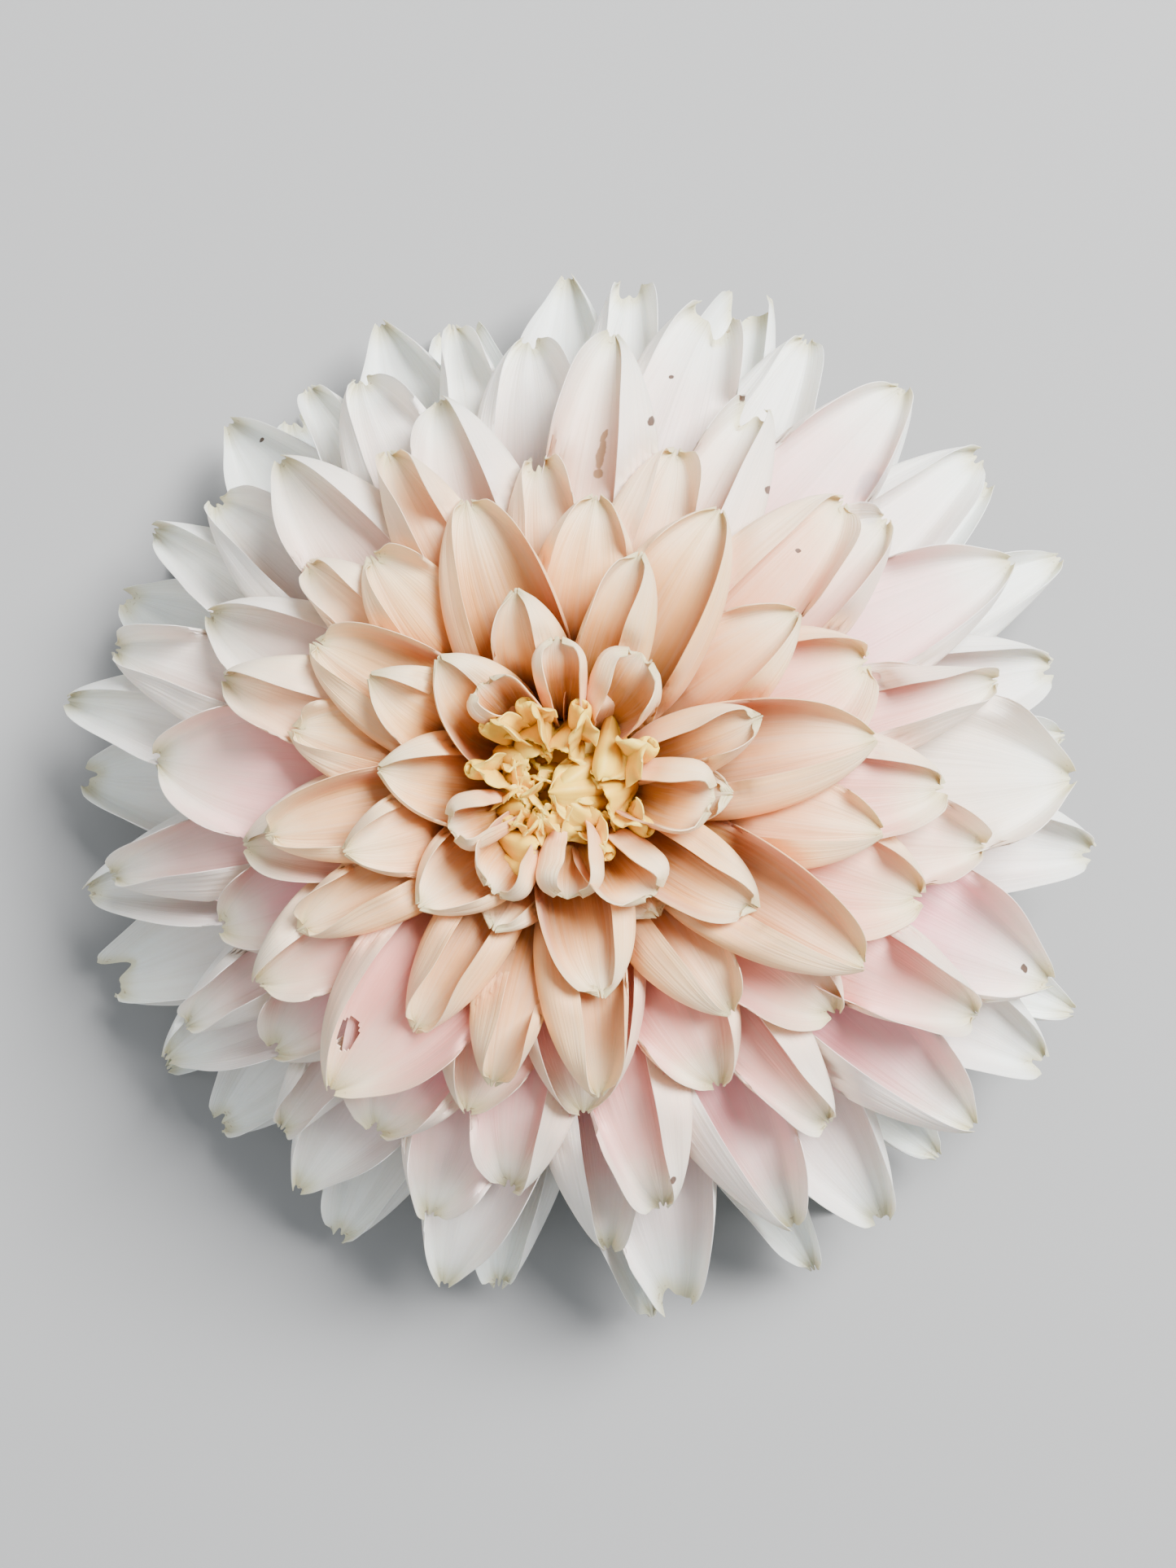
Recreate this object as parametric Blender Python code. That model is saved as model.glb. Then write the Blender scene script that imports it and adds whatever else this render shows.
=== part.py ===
"""A cut dahlia bloom lying face up, built from its separate petals, bracts, receptacle and stem stub.

Run with: blender --background --python part.py

The bloom's own axis is vertical. Lengths below are in millimetres and become metres through MM.
Every petal is an arched, cupped blade. It is set by where it leaves the receptacle, by the bearing and
reach of its tip, and by the shape that its whorl gives it.
"""

import math
from dataclasses import dataclass

import bmesh
import bpy
import numpy as np
from mathutils import Matrix

MM = 0.001

# Petal blades: thickness, and how the outline runs from claw to tip.
BLADE_THICKNESS = 0.8
CLAW_SHARE = 0.24  # of the full width, where the petal leaves the receptacle
WIDEST_AT = 0.62  # of the length
TIP_SHARE = 0.07  # of the full width, at the very tip
TIP_FULLNESS = 1.9
CLAW_CUP = 150.0  # degrees that the claw's section turns through
TIP_CUP = 110.0  # the same at the tip
WIDTH_SPREAD = 0.05
ROLL_SPREAD = 3.0  # degrees that a petal leans about its own length
STEPS_ACROSS = 4
ROOT_DEPTH = 0.8  # that a joined petal reaches into its collar
CIRCLE_SHARE = 0.92  # of the room between its neighbours that a petal fills

# Receptacle, the solid cone that carries everything, as a turned profile (radius, height).
RECEPTACLE_PROFILE = (
    (4.6, 21.0), (9.0, 22.6), (14.0, 25.6), (16.6, 29.0), (16.6, 36.0),
    (13.6, 37.4), (12.4, 40.4), (10.8, 44.0), (8.8, 48.0), (6.4, 52.0), (4.0, 54.6), (1.8, 55.2),
)
RECEPTACLE_SIDES = 20
COLLAR_SIDES = 18
COLLAR_HEIGHT = 1.5
GAP = 0.3

# Stem stub, cut square just under the bloom, with a slight flare where it meets the receptacle.
STEM_PROFILE = ((3.9, 6.0), (3.9, 15.0), (4.3, 20.7))
STEM_SIDES = 16

# Tight centre of florets that have not opened, as a core with folded florets growing out of it.
CORE_PROFILE = (
    (1.6, 55.6), (4.4, 56.4), (6.6, 59.6), (7.6, 65.0), (7.0, 70.0), (4.6, 74.0), (1.6, 75.6),
)
CORE_SIDES = 16


@dataclass(frozen=True)
class Whorl:
    """One turn of petals. Lengths are in millimetres, angles in degrees."""

    name: str
    base_radius: float
    base_height: float
    tip_height: float
    rise: float  # above level, where a petal leaves the receptacle
    width: float  # across the petal laid flat
    cup: float  # that the widest section turns through
    steps: int  # along each petal
    colour: str
    petals: tuple  # (bearing, reach of the tip) of each


LOOSE_WHORLS = (
    Whorl("petal_a", 17.0, 30.2, 2.0, 6, 25, 64, 5, "white", (
        (15, 105), (36, 110), (60, 99), (82, 98), (104, 99), (127, 98), (148, 98), (169, 98), (191, 99),
        (215, 104), (239, 100), (260, 99), (281, 100), (303, 106), (327, 101), (351, 101))),
    Whorl("petal_b", 17.0, 33.2, 14.0, 17, 24.5, 70, 5, "white", (
        (4, 104), (25, 112), (48, 109), (70, 107), (91, 104), (113, 102), (135, 101), (157, 100), (179, 100),
        (201, 103), (223, 101), (243, 105), (261, 103), (279, 111), (297, 112), (315, 108), (337, 114))),
    Whorl("petal_c", 14.9, 37.6, 25.5, 26.5, 25, 70, 5, "white", (
        (14, 100), (39, 107), (62, 103), (82, 103), (103, 96), (124, 98), (147, 98), (170, 102), (193, 98),
        (215, 97), (236, 96), (256, 103), (279, 104), (304, 108), (330, 112), (353, 107))),
)
JOINED_WHORLS = (
    Whorl("whorl_d", 15.0, 41.0, 38.5, 37, 24, 70, 4, "blush", (
        (1, 98), (26, 97), (49, 99), (73, 97), (95, 89), (117, 88), (141, 88), (165, 90), (190, 91),
        (212, 86), (232, 87), (253, 87), (275, 88), (297, 96), (318, 103), (338, 100))),
    Whorl("whorl_e", 13.8, 44.4, 51.0, 49.5, 22.5, 74, 4, "blush", (
        (14, 84), (38, 79), (61, 80), (84, 86), (106, 77), (129, 82), (153, 76), (177, 78), (201, 71),
        (222, 74), (242, 79), (264, 73), (286, 76), (308, 81), (330, 89), (351, 78))),
    Whorl("whorl_f", 12.2, 47.8, 62.8, 60, 21, 90, 4, "blush", (
        (1, 71), (25, 62), (49, 75), (72, 65), (95, 62), (117, 66), (141, 64), (165, 60), (189, 60),
        (212, 67), (232, 66), (253, 62), (275, 60), (297, 62), (318, 64), (340, 69))),
    Whorl("whorl_g", 10.2, 51.2, 72.8, 66.5, 19, 125, 4, "peach", (
        (13, 57), (38, 56), (62, 51), (84, 55), (106, 53), (130, 55), (154, 52), (178, 51), (202, 55),
        (227, 52), (252, 55), (277, 56), (303, 51), (329, 60), (351, 58))),
    Whorl("whorl_h", 8.0, 54.6, 80.0, 73, 17, 150, 4, "peach", (
        (20, 37), (50, 29), (77, 42), (106, 37), (134, 33), (160, 40), (188, 36), (216, 39), (246, 29),
        (276, 36), (307, 30), (336, 39), (358, 32))),
)
FLORET_RINGS = (
    Whorl("florets_low", 6.4, 60.0, 77.0, 82, 12, 180, 3, "yellow", (
        (10, 16), (50, 15), (88, 17), (130, 15), (172, 17), (214, 15), (256, 16), (300, 15), (336, 17))),
    Whorl("florets_high", 6.4, 67.0, 80.5, 98, 9, 170, 3, "yellow", (
        (30, 8), (96, 7), (160, 9), (222, 7), (286, 8), (346, 9))),
)
OUTER_BRACTS = Whorl("outer_bracts", 13.4, 23.4, 10.0, -6, 12, 50, 4, "green", (
    (20, 30), (92, 28), (165, 31), (236, 29), (308, 30)))
INNER_BRACTS = Whorl("inner_bracts", 17.0, 26.4, 16.0, -10, 14, 30, 4, "bract", (
    (12, 40), (57, 38), (102, 41), (147, 39), (192, 40), (237, 38), (282, 41), (327, 39)))


def vary(index, stream):
    """A repeatable spread of values from -1 to 1, so that no two petals are alike."""
    return math.sin(12.9898 * (index + 1) + 78.233 * (stream + 1))


def clear_scene():
    for obj in list(bpy.data.objects):
        bpy.data.objects.remove(obj)


def make_material(name, colour, roughness):
    material = bpy.data.materials.new(name)
    material.use_nodes = True
    shader = material.node_tree.nodes["Principled BSDF"]
    shader.inputs["Base Color"].default_value = (*colour, 1.0)
    shader.inputs["Roughness"].default_value = roughness
    shader.inputs["Metallic"].default_value = 0.0
    return material


def add_object(name, mesh, material, parent):
    mesh.materials.clear()
    mesh.materials.append(material)
    obj = bpy.data.objects.new(name, mesh)
    bpy.context.scene.collection.objects.link(obj)
    obj.parent = parent
    return obj


def smooth_step(value):
    value = np.clip(value, 0.0, 1.0)
    return value * value * (3.0 - 2.0 * value)


def outline(along):
    """Share of the full width at each point: a narrow claw, a broad middle and a pointed tip."""
    opening = CLAW_SHARE + (1.0 - CLAW_SHARE) * smooth_step(along / WIDEST_AT)
    closing = np.clip((along - WIDEST_AT) / (1.0 - WIDEST_AT), 0.0, 1.0) ** TIP_FULLNESS
    return opening * (1.0 - (1.0 - TIP_SHARE) * closing)


def cup_angle(along, cup):
    """Half the angle, in radians, that the section turns through: claw, then middle, then tip."""
    claw = 1.0 - smooth_step(along / 0.35)
    tip = smooth_step((along - 0.7) / 0.3)
    middle = 1.0 - claw - tip
    return np.radians(0.5 * (CLAW_CUP * claw + cup * middle + TIP_CUP * tip))


def midrib(base, tip, rise, steps):
    """Points and slopes of the circular arc from base to tip, both (radius, height), that starts at rise."""
    chord = math.atan2(tip[1] - base[1], tip[0] - base[0])
    half_turn = math.radians(rise) - chord
    length = math.dist(base, tip) * half_turn / math.sin(half_turn)
    along = np.linspace(0.0, 1.0, steps + 1)
    slope = math.radians(rise) - 2.0 * half_turn * along
    bend = length / (2.0 * half_turn)
    radius = base[0] + bend * (math.sin(math.radians(rise)) - np.sin(slope))
    height = base[1] + bend * (np.cos(slope) - math.cos(math.radians(rise)))
    return along, radius, height, slope


def blade_points(base, tip, rise, width, cup, roll, steps, room):
    """Grid of points [along, across, xyz] of a petal that points along +X, and the grid's normals.

    Each section is drawn in to stay within room, half the angle that the petal has between its neighbours.
    """
    along, radius, height, slope = midrib(base, tip, rise, steps)
    across = np.linspace(-1.0, 1.0, STEPS_ACROSS + 1)
    half_width = 0.5 * width * outline(along)[:, None]
    turn = cup_angle(along, cup)[:, None] * across[None, :]
    fine = np.linspace(0.0, 1.0, 17)
    sideways = np.cos(turn[..., None] * fine).mean(axis=-1) * across * half_width
    inwards = np.sin(np.abs(turn)[..., None] * fine).mean(axis=-1) * np.abs(across) * half_width
    edge_side, edge_in = sideways[:, -1], inwards[:, -1] * np.sin(slope)
    share = CIRCLE_SHARE * math.tan(math.radians(room))
    drawn_in = np.clip(share * radius / (edge_side + share * edge_in), 0.0, 1.0)[:, None]
    sideways, inwards = sideways * drawn_in, inwards * drawn_in
    lean = math.radians(roll)
    side = sideways * math.cos(lean) - inwards * math.sin(lean)
    up = sideways * math.sin(lean) * along[:, None] + inwards * math.cos(lean)
    down_slope, up_slope = np.sin(slope)[:, None], np.cos(slope)[:, None]
    points = np.stack([radius[:, None] - up * down_slope, side, height[:, None] + up * up_slope], axis=-1)
    normals = np.stack([
        -down_slope * np.cos(turn), -np.sin(turn) * np.ones_like(side), up_slope * np.cos(turn)], axis=-1)
    return points, normals


def blade_mesh(points, normals):
    """A closed blade: an upper and a lower skin that meet all round the outline."""
    rows, columns = points.shape[:2]
    work = bmesh.new()
    rim = np.zeros((rows, columns), bool)
    rim[[0, -1], :] = True
    rim[:, [0, -1]] = True
    offset = np.where(rim[..., None], 0.0, 0.5 * BLADE_THICKNESS) * normals
    upper = [[work.verts.new(points[i, j] + offset[i, j]) for j in range(columns)] for i in range(rows)]
    lower = [
        [upper[i][j] if rim[i, j] else work.verts.new(points[i, j] - offset[i, j]) for j in range(columns)]
        for i in range(rows)
    ]
    for i in range(rows - 1):
        for j in range(columns - 1):
            work.faces.new((upper[i][j], upper[i + 1][j], upper[i + 1][j + 1], upper[i][j + 1]))
            work.faces.new((lower[i][j], lower[i][j + 1], lower[i + 1][j + 1], lower[i + 1][j]))
    bmesh.ops.triangulate(work, faces=work.faces[:])
    bmesh.ops.recalc_face_normals(work, faces=work.faces[:])
    bmesh.ops.scale(work, vec=(MM, MM, MM), verts=work.verts[:])
    mesh = bpy.data.meshes.new("blade")
    work.to_mesh(mesh)
    work.free()
    return mesh


def petal_mesh(whorl, index, start_radius):
    """Petal number index of the whorl, pointing along +X."""
    bearing, reach = whorl.petals[index]
    gaps = [abs((bearing - other + 180) % 360 - 180) for other, _ in whorl.petals if other != bearing]
    width = whorl.width * (1.0 + WIDTH_SPREAD * vary(index, 1))
    roll = ROLL_SPREAD * vary(index, 2)
    points, normals = blade_points(
        (start_radius, whorl.base_height), (reach, whorl.tip_height), whorl.rise, width, whorl.cup, roll,
        whorl.steps, 0.5 * min(gaps))
    return blade_mesh(points, normals)


def turned_mesh(profile, sides, closed):
    """The profile of (radius, height) carried round the axis. An open profile gets flat ends."""
    work = bmesh.new()
    rings = []
    for radius, height in profile:
        ring = [
            work.verts.new((radius * math.cos(a) * MM, radius * math.sin(a) * MM, height * MM))
            for a in (2.0 * math.pi * k / sides for k in range(sides))
        ]
        rings.append(ring)
    pairs = list(zip(rings, rings[1:]))
    if closed:
        pairs.append((rings[-1], rings[0]))
    else:
        work.faces.new(rings[0])
        work.faces.new(rings[-1])
    for low, high in pairs:
        for k in range(sides):
            work.faces.new((low[k], low[(k + 1) % sides], high[(k + 1) % sides], high[k]))
    bmesh.ops.recalc_face_normals(work, faces=work.faces[:])
    mesh = bpy.data.meshes.new("turned")
    work.to_mesh(mesh)
    work.free()
    return mesh


def receptacle_radius(height):
    heights = [h for _, h in RECEPTACLE_PROFILE]
    radii = [r for r, _ in RECEPTACLE_PROFILE]
    return float(np.interp(height, heights, radii))


def loose_petals(whorl, material, parent):
    """Each petal of the whorl is an object of its own, turned to its bearing."""
    for index, (bearing, _) in enumerate(whorl.petals):
        obj = add_object(
            f"{whorl.name}_{index + 1:02d}", petal_mesh(whorl, index, whorl.base_radius), material, parent)
        obj.rotation_euler.z = math.radians(bearing)


def join_petals(body, whorls, material, parent):
    """Grows the petals of these whorls out of the body, as one solid."""
    work = bmesh.new()
    for whorl in whorls:
        for index, (bearing, _) in enumerate(whorl.petals):
            mesh = petal_mesh(whorl, index, whorl.base_radius - ROOT_DEPTH)
            mesh.transform(Matrix.Rotation(math.radians(bearing), 4, "Z"))
            work.from_mesh(mesh)
            bpy.data.meshes.remove(mesh)
    blades = bpy.data.meshes.new(f"{body.name}_blades")
    work.to_mesh(blades)
    work.free()
    cutter = add_object(f"{body.name}_blades", blades, material, parent)
    cutter.hide_render = True
    cutter.display_type = "WIRE"
    union = body.modifiers.new("petals", "BOOLEAN")
    union.operation = "UNION"
    union.object = cutter
    union.use_self = True


def collar_mesh(whorl):
    """Ring of receptacle tissue, round the receptacle, that the whorl's petals share."""
    low = whorl.base_height - 0.5 * COLLAR_HEIGHT
    high = whorl.base_height + 0.5 * COLLAR_HEIGHT
    inside = max(receptacle_radius(low), receptacle_radius(high)) + GAP
    return turned_mesh(
        ((inside, low), (whorl.base_radius, low), (whorl.base_radius, high), (inside, high)),
        COLLAR_SIDES, closed=True)


def joined_whorl(whorl, material, parent):
    body = add_object(whorl.name, collar_mesh(whorl), material, parent)
    join_petals(body, (whorl,), material, parent)


def stand_at_origin(root):
    """Moves the bloom so that the middle of its box's base is the origin. It rests on its petal tips."""
    graph = bpy.context.evaluated_depsgraph_get()
    corners = []
    for obj in root.children:
        if not obj.hide_render:
            solid = obj.evaluated_get(graph)
            corners += [solid.matrix_world @ vertex.co for vertex in solid.data.vertices]
    low, high = np.min(corners, axis=0), np.max(corners, axis=0)
    root.location = (-0.5 * (low[0] + high[0]), -0.5 * (low[1] + high[1]), -low[2])


def main():
    clear_scene()
    root = bpy.data.objects.new("dahlia", None)
    bpy.context.scene.collection.objects.link(root)
    materials = {
        "white": make_material("petal_white", (0.86, 0.85, 0.80), 0.6),
        "blush": make_material("petal_blush", (0.86, 0.68, 0.62), 0.6),
        "peach": make_material("petal_peach", (0.86, 0.60, 0.40), 0.6),
        "yellow": make_material("floret_yellow", (0.86, 0.66, 0.32), 0.6),
        "green": make_material("green_tissue", (0.20, 0.32, 0.09), 0.55),
        "bract": make_material("bract_membrane", (0.55, 0.58, 0.32), 0.6),
    }
    green = materials["green"]
    add_object("receptacle", turned_mesh(RECEPTACLE_PROFILE, RECEPTACLE_SIDES, False), green, root)
    add_object("stem_stub", turned_mesh(STEM_PROFILE, STEM_SIDES, False), green, root)
    joined_whorl(OUTER_BRACTS, materials["green"], root)
    joined_whorl(INNER_BRACTS, materials["bract"], root)
    for whorl in LOOSE_WHORLS:
        loose_petals(whorl, materials[whorl.colour], root)
    for whorl in JOINED_WHORLS:
        joined_whorl(whorl, materials[whorl.colour], root)
    yellow = materials["yellow"]
    core = add_object("floret_cluster", turned_mesh(CORE_PROFILE, CORE_SIDES, False), yellow, root)
    join_petals(core, FLORET_RINGS, yellow, root)
    stand_at_origin(root)


main()
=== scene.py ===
"""Looks of a cut dahlia bloom lying face up: every petal, floret and bract as a fine closed blade."""

import math
from dataclasses import dataclass

import bpy
import numpy as np
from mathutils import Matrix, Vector


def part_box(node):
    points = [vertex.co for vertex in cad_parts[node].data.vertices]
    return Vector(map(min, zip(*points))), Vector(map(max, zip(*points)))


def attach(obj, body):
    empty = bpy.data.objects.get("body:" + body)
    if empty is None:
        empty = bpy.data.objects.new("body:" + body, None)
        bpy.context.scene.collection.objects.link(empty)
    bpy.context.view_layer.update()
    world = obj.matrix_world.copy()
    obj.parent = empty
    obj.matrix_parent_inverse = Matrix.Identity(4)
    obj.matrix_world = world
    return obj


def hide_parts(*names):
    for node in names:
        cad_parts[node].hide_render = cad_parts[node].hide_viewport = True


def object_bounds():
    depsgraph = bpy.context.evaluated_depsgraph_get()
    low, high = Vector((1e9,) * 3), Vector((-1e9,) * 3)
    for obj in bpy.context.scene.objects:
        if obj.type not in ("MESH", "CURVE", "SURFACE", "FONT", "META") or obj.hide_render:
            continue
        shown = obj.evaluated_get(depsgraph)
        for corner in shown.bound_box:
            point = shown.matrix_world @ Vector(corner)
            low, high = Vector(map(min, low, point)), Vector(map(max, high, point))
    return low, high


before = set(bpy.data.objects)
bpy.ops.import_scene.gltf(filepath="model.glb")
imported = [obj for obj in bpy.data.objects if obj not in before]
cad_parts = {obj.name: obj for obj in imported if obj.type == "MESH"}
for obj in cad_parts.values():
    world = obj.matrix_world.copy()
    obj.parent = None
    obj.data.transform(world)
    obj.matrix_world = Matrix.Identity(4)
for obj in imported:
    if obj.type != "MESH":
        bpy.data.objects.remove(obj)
cad_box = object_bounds()

MM = 0.001
STEM_FOOT = 6.0  # height of the cut end of the stem in the bloom's own millimetres
PITH_DEPTH, PITH_BLUR = 0.35, 0.3  # mm of that end that are pale, and that shade into green
stem_low, stem_high = (np.array(corner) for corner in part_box("stem_stub"))
AXIS = np.array([*(0.5 * (stem_low + stem_high))[:2], stem_low[2] - STEM_FOOT * MM])
LOWEST = 2.0  # the surface that the bloom lies on, in the same millimetres

# Blade grid and skin, in shares of a blade's length and half width unless said otherwise.
ROWS = 48
COLUMNS = 33
FLORET_ROWS = 34
FLORET_COLUMNS = 25
TURN_STEPS = 33  # points at which the direction of a section is summed
CLAW_END = 0.35
CROWN_START = 0.8  # from here on the lobes and ribs fade
TIP_START = 0.72
TEETH_START = 0.93
CURL_START = 0.78
FLOOR_TURN = 0.14  # share of the turn that the flat floor of a petal takes
LOBE_REACH = 0.84
RIBS = 3  # on each side of the midrib
SLOW_WAVES, QUICK_WAVES = 1.7, 3.9  # of each edge, from base to tip
TEAR_WIDTH = 0.6
MIDDLE_THICKNESS = 0.50  # mm
FLORET_THICKNESS = 0.85  # mm
EDGE_SHARE = 0.36  # thickness of the edge as a share of the middle's
TIP_THINNING = 0.35
SHORTEST_FLORET = 10.0  # mm
RESTING_TIP = 5.0  # mm: whorls with their tips this low lie flat

# Where the numbers start that vary the pieces of each kind.
SEEDS_PER_WHORL = 20
FLORET_SEEDS, ROLL_SEEDS, BRACT_SEEDS = 300, 350, 500

# Turned parts, as (radius, height) from pole to pole.
STEM_PROFILE = (
    (0.0, 7.2), (1.5, 7.1), (2.1, 6.5), (2.5, 6.1), (3.5, 6.0), (3.9, 6.3), (3.95, 10.0), (4.0, 15.0),
    (4.3, 19.0), (4.9, 21.3), (0.0, 22.5),
)
RECEPTACLE_PROFILE = (
    (0.0, 20.6), (4.6, 20.9), (9.0, 22.4), (14.0, 25.4), (16.6, 29.2), (17.0, 33.0), (16.2, 36.4),
    (13.4, 38.4), (11.6, 42.0), (9.6, 47.0), (7.0, 52.0), (4.0, 55.0), (0.0, 56.0),
)
FLORET_BED_PROFILE = (
    (0.0, 58.0), (7.0, 59.0), (11.0, 63.0), (12.0, 67.0), (10.0, 70.5), (5.0, 72.6), (0.0, 73.0),
)
TURNED_SIDES = 72
LEAST_RADIUS = 0.05  # mm, of a ring beside a pole
CURVE_STEPS = 6  # between two points of a profile
SHARP_ANGLE = math.radians(60)

# Crowding: petals are laid from the top down, and each is pressed under those already laid. In mm.
CELL = 1.2
REACH = 126.0
CLEARANCE = 0.55
MOST_PRESS = 13.0
PRESS_SPREAD = 7  # times that a drop is blurred over its neighbours
LEAST_LIFT = 0.25  # of a petal's middle surface above the surface that the bloom lies on

PALE_SIDE = 110.0  # bearing of the side where the petals are least flushed
LEAST_BLUSH = 0.25


@dataclass(frozen=True)
class Whorl:
    """One turn of petals. Lengths are in millimetres, angles in degrees."""

    name: str
    node: str  # the CAD node, or the start of the names of one node per petal
    slot: str
    base_radius: float
    base_height: float
    tip_height: float
    rise: float  # above level, where a petal leaves the receptacle
    width: float  # across the petal laid flat
    cup: float  # that the widest section turns through
    tip_cup: float
    crease: float  # share of the half width where the margins start to fold in
    blunt: float  # the larger, the rounder the tip
    peach: float
    blush: float
    petals: tuple  # (bearing, reach of the tip) of each


WHORLS = (
    Whorl("inmost", "whorl_h", "petal_peach",
          11.0, 54.6, 80.0, 84, 29, 240, 205, 0.36, 2.9, 1.45, 0.25, (
        (20, 37), (56, 27.5), (72, 43.5), (104, 36), (134, 32), (150, 39.5), (174, 33), (196, 40.5),
        (219, 33.5), (243, 28.5), (280, 38), (306, 28.5), (328, 40.5), (358, 30))),
    Whorl("inner", "whorl_g", "petal_peach",
          12.4, 51.2, 72.0, 80, 35, 250, 215, 0.37, 2.3, 1.2, 0.4, (
        (9, 56), (37, 52), (61, 57), (84, 53), (109, 55), (130, 55), (150, 53), (168, 51), (189, 55),
        (208, 54.5), (238, 51.5), (256, 55), (276, 55.5), (306, 50), (329, 62), (352, 57))),
    Whorl("mid_high", "whorl_f", "petal_blush",
          13.6, 47.8, 61.5, 72, 40, 248, 215, 0.37, 1.9, 0.64, 1.0, (
        (0, 70), (23, 61), (46, 74), (72, 66), (95, 61), (118, 70), (139, 63), (162, 66), (190, 60),
        (212, 67), (232, 70), (253, 62), (273, 60), (297, 62), (320, 65), (343, 69))),
    Whorl("middle", "whorl_e", "petal_blush",
          14.6, 44.4, 49.5, 60, 42, 242, 208, 0.36, 1.55, 0.28, 1.1, (
        (14, 84), (40, 79), (63, 80), (84, 86), (108, 77), (131, 82), (154, 75), (176, 78), (202, 71),
        (222, 75), (241, 75), (262, 77), (283, 82), (308, 81), (331, 89), (352, 80))),
    Whorl("mid_low", "whorl_d", "petal_blush",
          15.4, 41.0, 37.0, 45, 43, 232, 202, 0.35, 1.42, 0.12, 0.85, (
        (1, 98), (27, 97), (50, 102), (73, 97), (95, 88), (117, 90), (141, 89), (163, 93), (191, 91),
        (212, 88), (230, 87), (252, 87.5), (275, 90), (297, 96), (320, 103), (338, 101))),
    Whorl("outer_high", "petal_c", "petal_white",
          15.4, 37.6, 24.5, 31, 43, 215, 190, 0.35, 1.28, 0.06, 0.3, (
        (14, 101), (39, 107), (62, 103), (83, 102), (104, 96), (123, 96), (148, 98), (170, 102),
        (192, 98.5), (214, 97.5), (236, 97), (256, 103), (282, 106), (306, 108), (330, 111), (353, 107))),
    Whorl("outer_low", "petal_b", "petal_white",
          17.0, 33.2, 13.0, 19, 42, 196, 180, 0.36, 1.24, 0.04, 0.10, (
        (6, 103), (25, 112), (49, 107), (69, 107), (90, 105), (112, 103), (133, 103), (157, 100),
        (179, 100), (203, 103), (224, 101), (243, 105), (262, 105), (279, 111), (297, 112), (315, 108),
        (336, 114))),
    Whorl("lowest", "petal_a", "petal_white",
          17.0, 30.2, 2.3, 5, 39, 170, 160, 0.36, 1.22, 0.02, 0.03, (
        (15, 105), (36, 110), (60, 99), (82, 98), (104, 99), (127, 98), (148, 98), (169, 98), (191, 99),
        (215, 104), (239, 100), (260, 99), (281, 100), (303, 106), (327, 101), (351, 101))),
)


@dataclass(frozen=True)
class Mark:
    """How a petal differs from the rest of its whorl: shares of the whorl's values, and damage."""

    wide: float = 1.0
    cup: float = 1.0
    blush: float = 1.0
    peach: float = 1.0
    notch: float = 0.0  # millimetres more
    split: float = 0.0  # depth of a tear at the tip, in millimetres
    hole: tuple = ()  # (along, across, half length, half width) as shares of the petal


MARKS = {
    ("inner", 8): Mark(wide=0.9, cup=0.8),
    ("mid_high", 1): Mark(wide=1.22, cup=0.78, peach=1.2),
    ("mid_high", 4): Mark(wide=0.92, cup=0.9, split=3.0),
    ("mid_high", 10): Mark(wide=1.08, cup=0.85, hole=(0.82, -0.20, 0.050, 0.13)),
    ("mid_high", 15): Mark(wide=1.1, cup=0.85, peach=1.2),
    ("middle", 1): Mark(wide=1.2, cup=0.82, peach=1.3),
    ("middle", 2): Mark(notch=1.8, split=5.0),
    ("middle", 7): Mark(wide=1.12, cup=0.85, blush=1.05),
    ("middle", 10): Mark(wide=1.15, cup=0.85, blush=1.3),
    ("middle", 14): Mark(wide=1.15, cup=0.88, blush=1.2),
    ("middle", 15): Mark(wide=1.08, cup=0.7, peach=1.5),
    ("mid_low", 0): Mark(wide=1.3, cup=0.72, blush=0.1, peach=2.0),
    ("mid_low", 1): Mark(blush=0.6),
    ("mid_low", 3): Mark(notch=1.5, split=6.0),
    ("mid_low", 11): Mark(wide=1.18, cup=0.8, blush=1.2),
    ("mid_low", 15): Mark(wide=1.12, cup=0.88, blush=1.1),
    ("outer_high", 3): Mark(split=5.0, notch=1.0),
    ("outer_high", 9): Mark(notch=1.2),
    ("outer_high", 12): Mark(split=4.0),
    ("outer_low", 3): Mark(split=8.0, notch=1.5),
    ("outer_low", 9): Mark(split=4.0, notch=1.0),
    ("outer_low", 12): Mark(notch=1.5),
    ("lowest", 4): Mark(split=5.0),
    ("lowest", 12): Mark(split=5.0, notch=1.0),
}

# Stains on the upper side: x and y from the axis, half length and half width in mm, and bearing in
# degrees.
BROWN_SPECKS = (
    (37.5, 54.8, 1.0, 0.7, 30), (88.2, -34.4, 1.0, 0.7, 120), (20.0, -71.8, 0.8, 0.6, 75),
    (42.0, 43.0, 0.6, 0.4, 10), (-62.0, 71.0, 0.6, 0.5, 45), (33.5, 74.0, 1.6, 0.8, 60),
    (15.8, 67.0, 1.1, 0.6, 70), (20.0, 78.0, 0.6, 0.5, 20),
)
MOST_SHIFT = 0.7  # of their outlines, in mm
TAN_STAINS = ((6.7, 61.2, 3.0, 0.8, 80), (7.3, 64.6, 1.4, 0.5, 60), (6.2, 57.6, 1.0, 0.9, 20))
BRUISES = ((57.5, 55.0, 5.4, 3.2, 80),)


@dataclass(frozen=True)
class Floret:
    """A floret of the eye: a rolled scroll, or a hood where its cup is negative. In mm and degrees."""

    foot: tuple  # (x, y) from the axis
    heading: float  # the way that it leans
    lean: float  # how far its tip is from its foot
    top: float
    width: float
    cup: float
    blunt: float  # width of its end as a share of the widest place


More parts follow.
